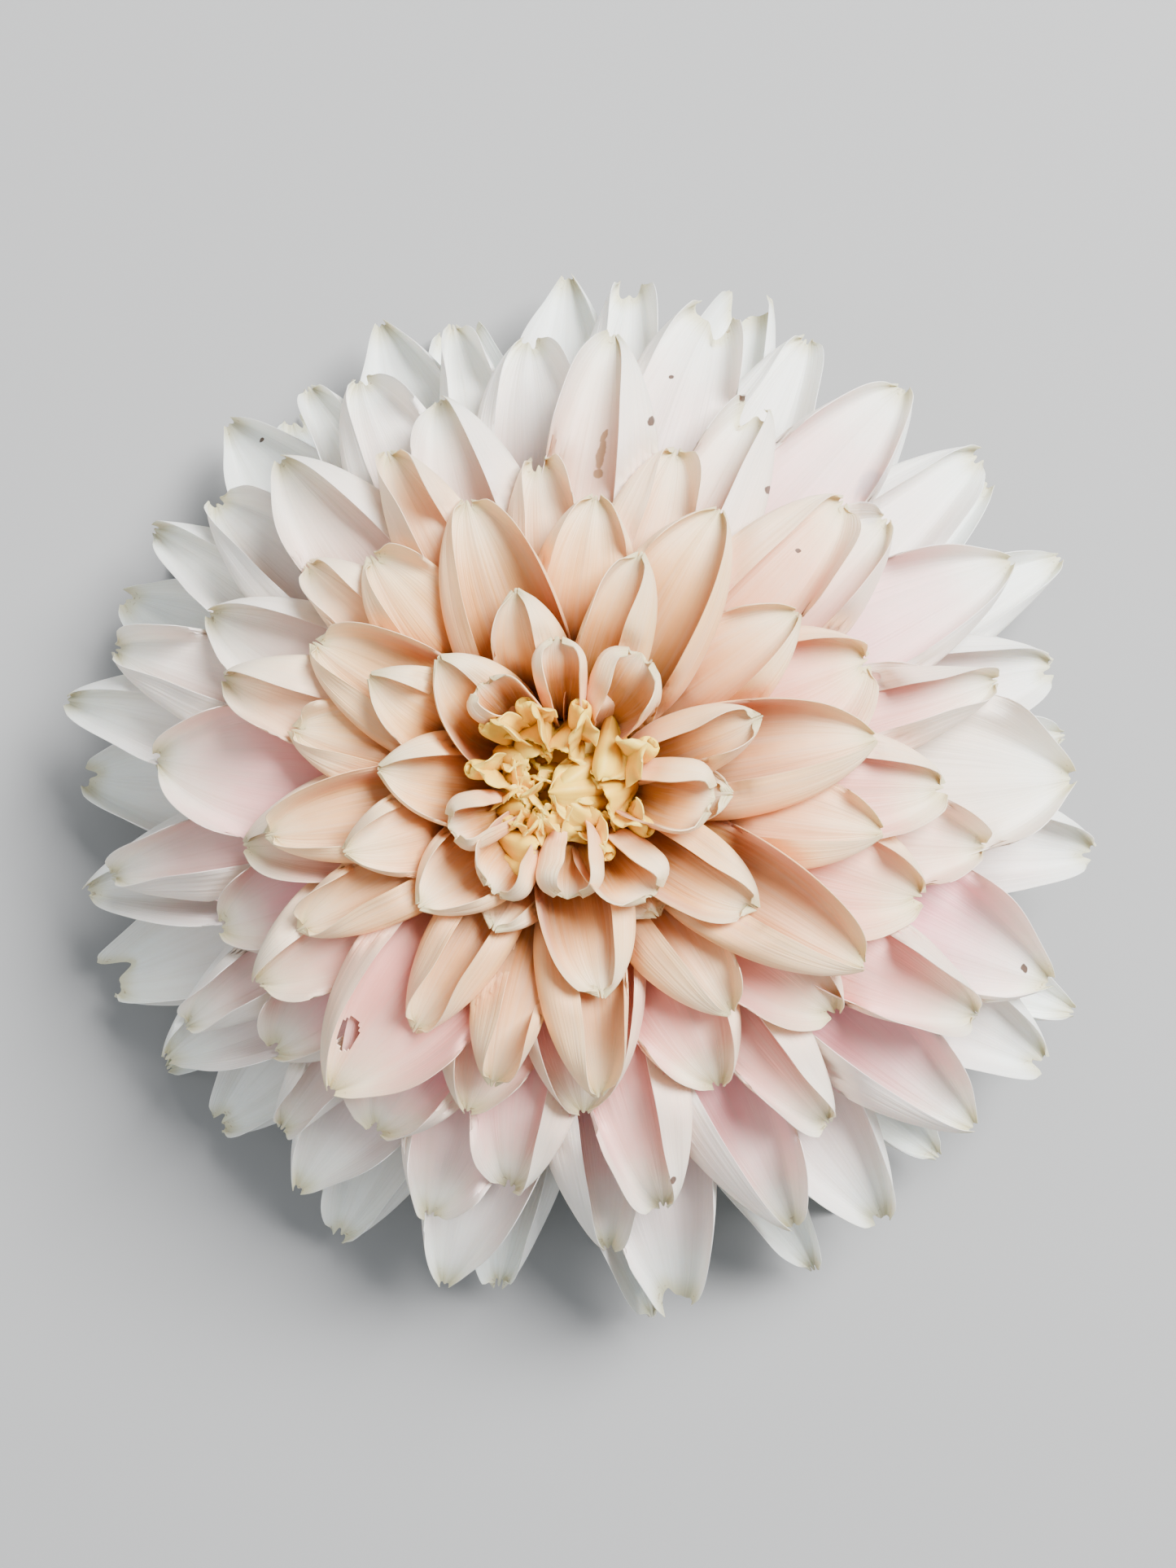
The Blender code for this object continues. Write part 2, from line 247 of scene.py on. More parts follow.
FLORETS = (
    Floret((9.0, 0.5), 186, 12.0, 82.3, 14, -110, 0.1),
    Floret((9.5, -3.5), 166, 12.5, 81.0, 14, -105, 0.12),
    Floret((6.5, 5.5), 215, 9.0, 81.2, 13, -110, 0.15),
    Floret((8.5, -7.0), 150, 9.0, 80.2, 13, -105, 0.15),
    Floret((8.2, 12.5), 258, 11.5, 83.0, 14, -150, 0.1),
    Floret((12.5, 1.0), 200, 6.0, 82.5, 16, -130, 0.5),
    Floret((12.0, 5.0), 40, 5.0, 83.5, 20, 320, 0.55),
    Floret((1.5, 12.0), 250, 6.0, 82.5, 15, -125, 0.5),
    Floret((2.0, 10.0), 80, 5.5, 83.5, 18, 290, 0.65),
    Floret((-3.5, 13.5), 255, 6.0, 83.0, 16, -120, 0.55),
    Floret((-5.5, 10.5), 110, 5.5, 84.0, 18, 300, 0.6),
    Floret((-8.5, 11.5), 300, 7.0, 82.5, 15, -130, 0.5),
    Floret((-9.5, 8.5), 150, 6.0, 83.0, 18, 290, 0.6),
    Floret((-12.5, 6.5), 340, 6.5, 82.0, 16, -125, 0.45),
    Floret((-13.0, 3.0), 175, 4.5, 82.5, 16, 310, 0.6),
    Floret((-12.0, 1.0), 10, 6.0, 81.0, 13, -120, 0.4),
    Floret((-8.5, 2.5), 80, 3.5, 81.0, 11, 300, 0.7),
    Floret((-6.0, 0.0), 200, 3.5, 81.0, 11, 310, 0.7),
    Floret((-9.5, -2.0), 30, 3.5, 80.8, 11, 300, 0.7),
    Floret((-5.0, -3.5), 300, 3.5, 80.8, 11, 300, 0.7),
    Floret((-8.0, -5.0), 210, 3.5, 80.5, 12, 310, 0.7),
    Floret((-12.5, -4.5), 15, 5.5, 81.0, 13, -125, 0.4),
    Floret((-3.5, -7.0), 110, 4.0, 80.6, 12, 300, 0.6),
    Floret((-6.5, -8.0), 60, 4.5, 80.8, 11, 300, 0.6),
    Floret((-2.8, -10.5), 95, 6.0, 81.0, 13, -130, 0.2),
    Floret((-13.5, -8.0), 345, 9.0, 81.5, 14, -120, 0.2),
    Floret((-0.5, 5.0), 225, 4.0, 76.5, 11, -130, 0.5),
    Floret((-3.0, 0.5), 170, 4.0, 78.0, 11, 290, 0.6),
    Floret((3.0, -8.0), 60, 5.0, 80.0, 14, -125, 0.4),
    Floret((6.0, -9.0), 300, 4.0, 81.0, 15, 300, 0.6),
    Floret((11.5, -5.5), 330, 4.5, 81.5, 16, 310, 0.6),
)

# Small petals of the inmost whorl that stay rolled, close round the eye.
ROLLS = (
    Floret((0.8, -8.0), 268, 11.5, 80.5, 27, 300, 0.40),
    Floret((-11.0, -4.0), 197, 10.0, 80.5, 23, 290, 0.45),
    Floret((-0.5, 13.0), 94, 13.5, 82.5, 20, 265, 0.20),
    Floret((6.5, 12.5), 58, 13.0, 82.0, 28, 280, 0.35),
    Floret((-9.0, 11.5), 133, 9.0, 81.5, 22, 280, 0.40),
    Floret((-6.5, -9.5), 235, 11.0, 80.0, 25, 275, 0.30),
    Floret((7.5, -9.5), 312, 12.5, 80.0, 28, 285, 0.30),
    Floret((12.5, 0.5), 350, 14.0, 80.5, 30, 290, 0.35),
)


def vary(index, stream):
    """A repeatable value from -1 to 1: the sine of a number that the index and the stream make large."""
    return math.sin(12.9898 * (index + 1.0) + 78.233 * (stream + 1.0))


def smooth_step(value):
    """3v² − 2v³, held at 0 below 0 and at 1 above 1."""
    value = np.clip(value, 0.0, 1.0)
    return value * value * (3.0 - 2.0 * value)


@dataclass
class Blade:
    """What sets one petal apart from its whorl."""

    base: tuple  # (radius, height)
    tip: tuple
    bearing: float
    rise: float
    width: float
    cup: float
    tip_cup: float
    claw: float = 0.38  # share of the width at the claw
    claw_cup: float = 320.0
    widest: float = 0.62
    fullness: float = 1.8
    tip_share: float = 0.06  # share of the width at the tip
    lobe: float = 0.65  # depth of the two long hollows beside the midrib, in mm
    rib: float = 0.17  # height of the fine ribs along the petal, in mm
    wave: float = 0.70  # of the edges, in mm
    roll: float = 0.0
    twist: float = 0.0
    drift: float = 0.0
    lopsided: float = 0.0
    edge_curl: float = 0.0
    crease: float = 0.32  # share of the half width where the margin starts to fold in
    fold: float = 0.32  # share of the half width that the fold takes
    notch: float = 0.9
    split: float = 0.0
    split_at: float = 0.15
    hole: tuple = ()
    seed: float = 0.0


def outline(along, blade):
    """Share of the width: a smooth opening from the claw to the widest place, then an ogive to the tip."""
    opening = blade.claw + (1.0 - blade.claw) * smooth_step(along / blade.widest)
    closing = np.clip((along - blade.widest) / (1.0 - blade.widest), 0.0, 1.0) ** blade.fullness
    return opening * (1.0 - (1.0 - blade.tip_share) * closing)


def midrib(blade, along):
    """Circular arc from base to tip that leaves at the rise angle, as radius, height and slope.

    The arc turns through twice the angle between the rise and the chord. Its radius and height are the
    sums of the cosine and the sine of its slope.
    """
    chord = math.atan2(blade.tip[1] - blade.base[1], blade.tip[0] - blade.base[0])
    half_turn = math.radians(blade.rise) - chord
    length = math.dist(blade.base, blade.tip) * half_turn / math.sin(half_turn)
    slope = math.radians(blade.rise) - 2.0 * half_turn * along
    bend = length / (2.0 * half_turn)
    radius = blade.base[0] + bend * (math.sin(math.radians(blade.rise)) - np.sin(slope))
    height = blade.base[1] + bend * (np.cos(slope) - math.cos(math.radians(blade.rise)))
    return radius, height, slope


def blade_surface(blade, rows=ROWS, columns=COLUMNS):
    """Middle surface of a petal as points [along, across, xyz], in millimetres about the bloom's axis.

    Each section starts flat at the midrib and turns upwards towards both edges. Its direction is half
    the cup angle times a curve that stays low over the floor of the petal, rises quickly from the
    crease on and levels off over the margin, which so folds back over the hollow. Summing the cosine
    and the sine of that direction gives the way sideways and the way in. The section stands square on
    the midrib's arc, and its lobes, its fine ribs, the wave of its edges, its roll, its twist and its
    sideways drift are added to it. Teeth and a tear shorten it at the tip. A negative cup makes a
    hood, with its hollow underneath.
    """
    along = np.linspace(0.0, 1.0, rows)
    radius, height, slope = midrib(blade, along)
    across = np.linspace(-1.0, 1.0, columns)
    s, t = along[:, None], across[None, :]
    reach = np.abs(t)
    half_width = 0.5 * blade.width * outline(s, blade)
    claw = 1.0 - smooth_step(s / CLAW_END)
    tip = smooth_step((s - TIP_START) / (1.0 - TIP_START))
    half_cup = 0.5 * np.radians(
        blade.claw_cup * claw + blade.cup * (1.0 - claw - tip) + blade.tip_cup * tip)
    half_cup = half_cup * (1.0 + blade.lopsided * np.sign(t))
    fine = np.linspace(0.0, 1.0, TURN_STEPS)[None, None, :] * reach[..., None]
    fold = smooth_step((fine - blade.crease) / blade.fold)
    turn = half_cup[..., None] * (FLOOR_TURN * fine + (1.0 - FLOOR_TURN) * fold)
    turn = turn + math.radians(blade.edge_curl) * smooth_step((fine - CURL_START) / (1.0 - CURL_START))
    sideways = np.cos(turn).mean(axis=-1) * t * half_width
    inwards = np.sin(turn).mean(axis=-1) * reach * half_width
    body = smooth_step(s / 0.2) * (1.0 - 0.6 * smooth_step((s - CROWN_START) / (1.0 - CROWN_START)))
    lobes = -0.5 * (1.0 - np.cos(2.0 * np.pi * reach / LOBE_REACH)) * (reach < LOBE_REACH)
    inwards = inwards + (blade.lobe * lobes + blade.rib * np.cos(2.0 * np.pi * RIBS * t)) * body
    phase = blade.seed * 6.3
    ripple = np.sin(2.0 * np.pi * SLOW_WAVES * s + phase + 1.9 * np.sign(t)) + 0.6 * np.sin(
        2.0 * np.pi * QUICK_WAVES * s + 2.3 * phase + 0.7 * np.sign(t))
    inwards = inwards + blade.wave * ripple * reach ** 3 * smooth_step((s - 0.2) / 0.4)
    lean = np.radians(blade.roll + blade.twist * s)
    side = sideways * np.cos(lean) - inwards * np.sin(lean)
    up = sideways * np.sin(lean) + inwards * np.cos(lean)
    teeth = 0.5 * (1.0 - np.cos(3.0 * np.pi * t)) + 0.35 * reach
    forward = -blade.notch * teeth * smooth_step((s - TEETH_START) / (1.0 - TEETH_START))
    gap = np.clip(1.0 - np.abs(t - blade.split_at) / TEAR_WIDTH, 0.0, 1.0)
    forward = forward - blade.split * gap * tip ** 2
    down_slope, up_slope = np.sin(slope)[:, None], np.cos(slope)[:, None]
    out = radius[:, None] - up * down_slope + forward * up_slope
    rise = height[:, None] + up * up_slope + forward * down_slope
    heading = np.radians(blade.bearing - blade.drift * (1.0 - s ** 1.6))
    x = out * np.cos(heading) - side * np.sin(heading)
    y = out * np.sin(heading) + side * np.cos(heading)
    return np.stack([x, y, rise], axis=-1), s * np.ones_like(t), t * np.ones_like(s)


class Crowd:
    """Lowest height of everything laid so far, over a square grid of cells round the axis."""

    def __init__(self):
        self.size = int(2 * REACH / CELL)
        self.ceiling = np.full((self.size, self.size), np.inf)

    def cells(self, points):
        """Row and column of the cell that each point is in."""
        index = ((points[..., :2] + REACH) / CELL).astype(int)
        return np.clip(index, 1, self.size - 2)

    def press(self, points):
        """Lowers each point to its clearance under the ceiling, with the drop spread smoothly around it.

        The claw stays where it is, and nothing goes below the surface that the bloom lies on.
        """
        cell = self.cells(points)
        room = self.ceiling[cell[..., 0], cell[..., 1]] - CLEARANCE
        drop = np.where(np.isfinite(room), np.clip(points[..., 2] - room, 0.0, None), 0.0)
        freedom = smooth_step((np.linspace(0.0, 1.0, points.shape[0]) - 0.1) / 0.4)[:, None]
        drop = np.minimum(drop, MOST_PRESS) * freedom
        spread = drop
        for _ in range(PRESS_SPREAD):
            padded = np.pad(spread, 1, mode="edge")
            blurred = (
                padded[:-2, 1:-1] + padded[2:, 1:-1] + padded[1:-1, :-2] + padded[1:-1, 2:]
                + 4.0 * padded[1:-1, 1:-1]) / 8.0
            spread = np.maximum(blurred, drop)
        pressed = points.copy()
        pressed[..., 2] = np.maximum(points[..., 2] - spread, LOWEST + LEAST_LIFT)
        return pressed

    def open_above(self, points):
        """1 where nothing laid so far is over a point, and 0 elsewhere."""
        cell = self.cells(points)
        return np.isinf(self.ceiling[cell[..., 0], cell[..., 1]]).astype(float)

    def add(self, points):
        """Lays a petal: its points, filled in between, lower the cells that they are in and beside."""
        dense = points
        for axis in (0, 1):
            first = np.take(dense, range(dense.shape[axis] - 1), axis)
            second = np.take(dense, range(1, dense.shape[axis]), axis)
            dense = np.concatenate([dense, 0.5 * (first + second)], axis)
        cell = self.cells(dense).reshape(-1, 2)
        height = dense[..., 2].reshape(-1)
        own = np.full_like(self.ceiling, np.inf)
        np.minimum.at(own, (cell[:, 0], cell[:, 1]), height)
        wide = own.copy()
        for dx, dy in ((1, 0), (-1, 0), (0, 1), (0, -1)):
            wide = np.minimum(wide, np.roll(own, (dx, dy), (0, 1)))
        self.ceiling = np.minimum(self.ceiling, wide)


def grid_normals(points):
    """Unit normals of a grid of points: the cross product of its two directions of travel."""
    ahead = np.gradient(points, axis=0)
    beside = np.gradient(points, axis=1)
    normal = np.cross(ahead, beside)
    return normal / np.maximum(np.linalg.norm(normal, axis=-1, keepdims=True), 1e-9)


def shell_mesh(name, points, thickness, kept):
    """Closed shell about a grid: an upper skin, a lower skin and narrow faces round every open edge.

    Returns the mesh and which grid points it uses. The kept array says which cells of the grid are
    there, so a hole is a patch of cells that aren't.
    """
    rows, columns = points.shape[:2]
    normal = grid_normals(points)
    upper = points + 0.5 * thickness[..., None] * normal
    lower = points - 0.5 * thickness[..., None] * normal
    index = np.arange(rows * columns).reshape(rows, columns)
    a, b, c, d = index[:-1, :-1], index[1:, :-1], index[1:, 1:], index[:-1, 1:]
    top = np.stack([a, b, c, d], axis=-1)[kept].reshape(-1, 4)
    used, top = np.unique(top, return_inverse=True)
    top = top.reshape(-1, 4)
    count = len(used)
    verts = np.concatenate([upper.reshape(-1, 3)[used], lower.reshape(-1, 3)[used]]) * MM + AXIS
    edges = np.concatenate([top[:, [i, (i + 1) % 4]] for i in range(4)])
    forward, backward = edges[:, 0] * count + edges[:, 1], edges[:, 1] * count + edges[:, 0]
    open_edges = edges[~np.isin(forward, backward)]
    start, end = open_edges[:, 0], open_edges[:, 1]
    rim = np.stack([end, start, start + count, end + count], axis=-1)
    faces = np.concatenate([top, top[:, ::-1] + count, rim])
    mesh = bpy.data.meshes.new(name)
    mesh.vertices.add(len(verts))
    mesh.vertices.foreach_set("co", verts.astype(np.float32).ravel())
    mesh.loops.add(faces.size)
    mesh.loops.foreach_set("vertex_index", faces.astype(np.int32).ravel())
    mesh.polygons.add(len(faces))
    mesh.polygons.foreach_set("loop_start", np.arange(0, faces.size, 4, dtype=np.int32))
    mesh.polygons.foreach_set("loop_total", np.full(len(faces), 4, dtype=np.int32))
    mesh.update(calc_edges=True)
    mesh.shade_smooth()
    mesh.set_sharp_from_angle(angle=SHARP_ANGLE)
    return mesh, used


def add_field(mesh, name, values):
    """Stores one number per vertex under this name, for the material to read."""
    field = mesh.attributes.new(name, "FLOAT", "POINT")
    field.data.foreach_set("value", np.asarray(values, np.float32).ravel())


def stand_in(name, mesh, material, node):
    """Makes a mesh a finished piece that stands for its CAD node."""
    mesh.materials.append(material)
    piece = bpy.data.objects.new(name, mesh)
    bpy.context.scene.collection.objects.link(piece)
    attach(piece, "root")
    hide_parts(node)


def petal_piece(
    name, points, s, t, tone, material, node, middle=MIDDLE_THICKNESS, hole=(), exposed=None
):
    """A petal, thickest along its middle near the base and thinnest at its edges and its tip.

    The thickness falls from the middle to the edge with the cube of the way across, and towards the
    tip in a straight line. Cells inside the oval of a hole are left out.
    """
    edge = np.abs(t) ** 3
    thickness = middle * (1.0 - (1.0 - EDGE_SHARE) * edge) * (1.0 - TIP_THINNING * s)
    kept = np.ones((s.shape[0] - 1, s.shape[1] - 1), bool)
    if hole:
        along, across, half_length, half_width = hole
        middle_s, middle_t = 0.5 * (s[1:, 1:] + s[:-1, 1:]), 0.5 * (t[1:, 1:] + t[1:, :-1])
        kept = np.hypot((middle_s - along) / half_length, (middle_t - across) / half_width) > 1.0
    mesh, used = shell_mesh(name, points, thickness, kept)
    count = len(used)
    add_field(mesh, "along", np.tile(s.ravel()[used], 2))
    add_field(mesh, "across", np.tile(t.ravel()[used], 2))
    add_field(mesh, "inside", np.repeat([1.0, 0.0], count))
    if exposed is not None:
        add_field(mesh, "exposed", np.tile(exposed.ravel()[used], 2))
    for field, value in tone.items():
        add_field(mesh, field, np.full(2 * count, value))
    stand_in(name, mesh, material, node)


def turned_piece(name, profile, material, node, ribs, rib_depth):
    """A turned body, closed at both poles, with shallow ribs down its sides.

    The profile is a Catmull-Rom curve through its points. The radius at each bearing is the profile's,
    times one plus the rib depth times the cosine of the number of ribs times the bearing.
    """
    knots = np.array([profile[0], *profile, profile[-1]])
    share = np.linspace(0.0, 1.0, CURVE_STEPS, endpoint=False)[:, None]
    curve = [
        0.5 * (2.0 * b + (c - a) * share + (2.0 * a - 5.0 * b + 4.0 * c - d) * share ** 2
               + (3.0 * b - 3.0 * c + d - a) * share ** 3)
        for a, b, c, d in zip(knots, knots[1:], knots[2:], knots[3:])
    ]
    curve = np.concatenate(curve)[1:]
    bearing = np.linspace(0.0, 2.0 * np.pi, TURNED_SIDES, endpoint=False)
    radius = np.maximum(curve[:, :1], LEAST_RADIUS) * (1.0 + rib_depth * np.cos(ribs * bearing))
    height = np.repeat(curve[:, 1:], TURNED_SIDES, axis=1)
    rings = np.stack([radius * np.cos(bearing), radius * np.sin(bearing), height], axis=-1)
    poles = [(0.0, 0.0, profile[0][1]), (0.0, 0.0, profile[-1][1])]
    verts = np.concatenate([rings.reshape(-1, 3), poles]) * MM + AXIS
    here = np.arange(len(verts) - 2).reshape(-1, TURNED_SIDES)
    beside = np.roll(here, -1, axis=1)
    walls = np.stack([here[:-1], beside[:-1], beside[1:], here[1:]], axis=-1).reshape(-1, 4)
    foot = np.full(TURNED_SIDES, len(verts) - 2)
    lower_fan = np.stack([foot, beside[0], here[0]], axis=-1)
    upper_fan = np.stack([foot + 1, here[-1], beside[-1]], axis=-1)
    mesh = bpy.data.meshes.new(name)
    mesh.from_pydata(verts.tolist(), [], [*walls.tolist(), *lower_fan.tolist(), *upper_fan.tolist()])
    mesh.shade_smooth()
    mesh.set_sharp_from_angle(angle=SHARP_ANGLE)
    stand_in(name, mesh, material, node)


@dataclass(frozen=True)
class Bracts:
    """A ring of small leaves under the bloom. Lengths are in millimetres, angles in degrees."""

    name: str
    slot: str
    base: tuple  # (radius, height)
    tip_height: float
    rise: float
    width: float
    cup: float
    leaves: tuple  # (bearing, reach) of each


BRACTS = (
    Bracts("outer_bracts", "green_tissue", (11.0, 24.2), 10.5, -4, 13, 70, (
        (20, 30), (92, 28), (165, 31), (236, 29), (308, 30))),
    Bracts("inner_bracts", "bract_membrane", (13.5, 27.2), 17.0, -8, 16, 60, (
        (12, 40), (57, 38), (102, 41), (147, 39), (192, 40), (237, 38), (282, 41), (327, 39))),
)


def bract_pieces(bracts, material):
    """Lays the ring: each leaf droops from the receptacle and its margins turn slightly upwards."""
    for index, (bearing, reach) in enumerate(bracts.leaves):
        seed = BRACT_SEEDS + len(bracts.leaves) * 10 + index
        blade = Blade(
            base=bracts.base,
            tip=(reach, bracts.tip_height + 1.2 * vary(seed, 1)),
            bearing=bearing,
            rise=bracts.rise,
            width=bracts.width * (1.0 + 0.1 * vary(seed, 2)),
            cup=bracts.cup,
            tip_cup=0.7 * bracts.cup,
            claw=0.75,
            claw_cup=0.5 * bracts.cup,
            widest=0.4,
            fullness=1.9,
            lobe=0.25,
            wave=0.35,
            twist=6.0 * vary(seed, 3),
            notch=0.3,
            seed=vary(seed, 4),
        )
        points, s, t = blade_surface(blade, FLORET_ROWS, FLORET_COLUMNS)
        name = f"{bracts.name[:-1]}_{index + 1:02d}"
        petal_piece(name, points, s, t, {"shade": 7.0 * vary(seed, 5)}, material, bracts.name)


class Wiring:
    """Short ways to add and join shader nodes."""

    def __init__(self, name):
        self.material = bpy.data.materials.new(name)
        self.material.use_nodes = True
        self.tree = self.material.node_tree
        self.shader = self.tree.nodes["Principled BSDF"]

    def plug(self, socket, value):
        """Links an output to the socket, or sets the socket to a number or a colour."""
        if isinstance(value, bpy.types.NodeSocket):
            self.tree.links.new(value, socket)
        elif socket.type == "RGBA" and len(value) == 3:
            socket.default_value = (*value, 1.0)
        else:
            socket.default_value = value

    def field(self, name):
        """A number that add_field stored on the mesh."""
        node = self.tree.nodes.new("ShaderNodeAttribute")
        node.attribute_name = name
        return node.outputs["Fac"]

    def math(self, operation, first, second=0.0, clamp=False):
        node = self.tree.nodes.new("ShaderNodeMath")
        node.operation = operation
        node.use_clamp = clamp
        self.plug(node.inputs[0], first)
        self.plug(node.inputs[1], second)
        return node.outputs[0]

    def ramp(self, value, start, end, low=0.0, high=1.0):
        """Smooth climb from low to high as the value goes from start to end."""
        node = self.tree.nodes.new("ShaderNodeMapRange")
        node.interpolation_type = "SMOOTHSTEP"
        self.plug(node.inputs["Value"], value)
        for socket, number in zip(("From Min", "From Max", "To Min", "To Max"), (start, end, low, high)):
            node.inputs[socket].default_value = number
        return node.outputs["Result"]

    def mix(self, share, first, second):
        """The first colour at a share of 0 and the second at 1."""
        node = self.tree.nodes.new("ShaderNodeMix")
        node.data_type = "RGBA"
        self.plug(node.inputs["Factor"], share)
        self.plug(node.inputs[6], first)
        self.plug(node.inputs[7], second)
        return node.outputs[2]

    def vector(self, x, y, z=0.0):
        node = self.tree.nodes.new("ShaderNodeCombineXYZ")
        for socket, value in zip(node.inputs, (x, y, z)):
            self.plug(socket, value)
        return node.outputs[0]

    def noise(self, vector, scale, detail=3.0, roughness=0.55):
        node = self.tree.nodes.new("ShaderNodeTexNoise")
        self.plug(node.inputs["Vector"], vector)
        node.inputs["Scale"].default_value = scale
        node.inputs["Detail"].default_value = detail
        node.inputs["Roughness"].default_value = roughness
        return node.outputs["Fac"]

    def place(self):
        """Object coordinates."""
        return self.tree.nodes.new("ShaderNodeTexCoord").outputs["Object"]

    def bump(self, height, strength, distance, below=None):
        node = self.tree.nodes.new("ShaderNodeBump")
        node.inputs["Strength"].default_value = strength
        node.inputs["Distance"].default_value = distance
        self.plug(node.inputs["Height"], height)
        if below is not None:
            self.plug(node.inputs["Normal"], below)
        return node.outputs["Normal"]

    def spots(self, place, ovals):
        """Share from 0 to 1 inside any of the ovals seen from above, each turned by its bearing."""
        split = self.tree.nodes.new("ShaderNodeSeparateXYZ")
        self.plug(split.inputs[0], self.wobble(place))
        inside = 0.0
        for x, y, half_length, half_width, bearing in ovals:
            turn = math.radians(bearing)
            across = self.math("SUBTRACT", split.outputs["X"], float(AXIS[0]) + x * MM)
            ahead = self.math("SUBTRACT", split.outputs["Y"], float(AXIS[1]) + y * MM)
            long_x = self.math("MULTIPLY", across, math.cos(turn) / (half_length * MM))
            long_y = self.math("MULTIPLY", ahead, math.sin(turn) / (half_length * MM))
            short_x = self.math("MULTIPLY", across, -math.sin(turn) / (half_width * MM))
            short_y = self.math("MULTIPLY", ahead, math.cos(turn) / (half_width * MM))
            long, short = self.math("ADD", long_x, long_y), self.math("ADD", short_x, short_y)
            long, short = self.math("MULTIPLY", long, long), self.math("MULTIPLY", short, short)
            inside = self.math("MAXIMUM", inside, self.ramp(self.math("ADD", long, short), 1.25, 0.7))
        return inside

    def wobble(self, place):
        """The place, shifted unevenly by a third of a millimetre or so, so that outlines are ragged."""
        node = self.tree.nodes.new("ShaderNodeTexNoise")
        self.plug(node.inputs["Vector"], place)
        node.inputs["Scale"].default_value = 700.0
        shift = self.tree.nodes.new("ShaderNodeVectorMath")
        shift.operation = "MULTIPLY_ADD"
        self.plug(shift.inputs[0], node.outputs["Color"])
        shift.inputs[1].default_value = (MOST_SHIFT * MM, MOST_SHIFT * MM, 0.0)
        self.plug(shift.inputs[2], place)
        return shift.outputs[0]


# Colours, as linear red, green and blue.
RIM_WHITE = (0.90, 0.93, 0.89)
CREAM = (0.96, 0.57, 0.19)
BLUSH = (0.92, 0.34, 0.41)
PEACH = (0.82, 0.40, 0.13)
# Partly the amber of a petal's base, partly painted shade deep in its hollow.
AMBER_AND_SHADE = (0.46, 0.20, 0.035)
TIP_GREEN = (0.56, 0.50, 0.22)
BROWN = (0.06, 0.025, 0.012)
TAN = (0.30, 0.17, 0.07)
BRUISE = (0.50, 0.46, 0.48)
STREAK = (0.66, 0.60, 0.50)
TIP_BROWN = (0.32, 0.22, 0.10)
BUTTER, PALE_BUTTER = (0.91, 0.53, 0.05), (0.95, 0.62, 0.09)
# Partly the deeper yellow of a floret's base, partly painted shade in its folds.
HONEY_AND_SHADE = (0.50, 0.24, 0.02)
BUTTER_EDGE = (0.98, 0.68, 0.16)
LEAF_GREENS = (0.12, 0.24, 0.05), (0.22, 0.36, 0.10)
MEMBRANE_GREENS = (0.42, 0.46, 0.22), (0.58, 0.60, 0.36)
RECEPTACLE_GREENS = (0.16, 0.25, 0.06), (0.26, 0.36, 0.11)
STEM_GREENS = (0.13, 0.23, 0.05), (0.24, 0.34, 0.10)
PITH = (0.55, 0.60, 0.34)
FLOOR_GREY = (0.33, 0.33, 0.33)
SKY = (0.86, 0.93, 1.0)


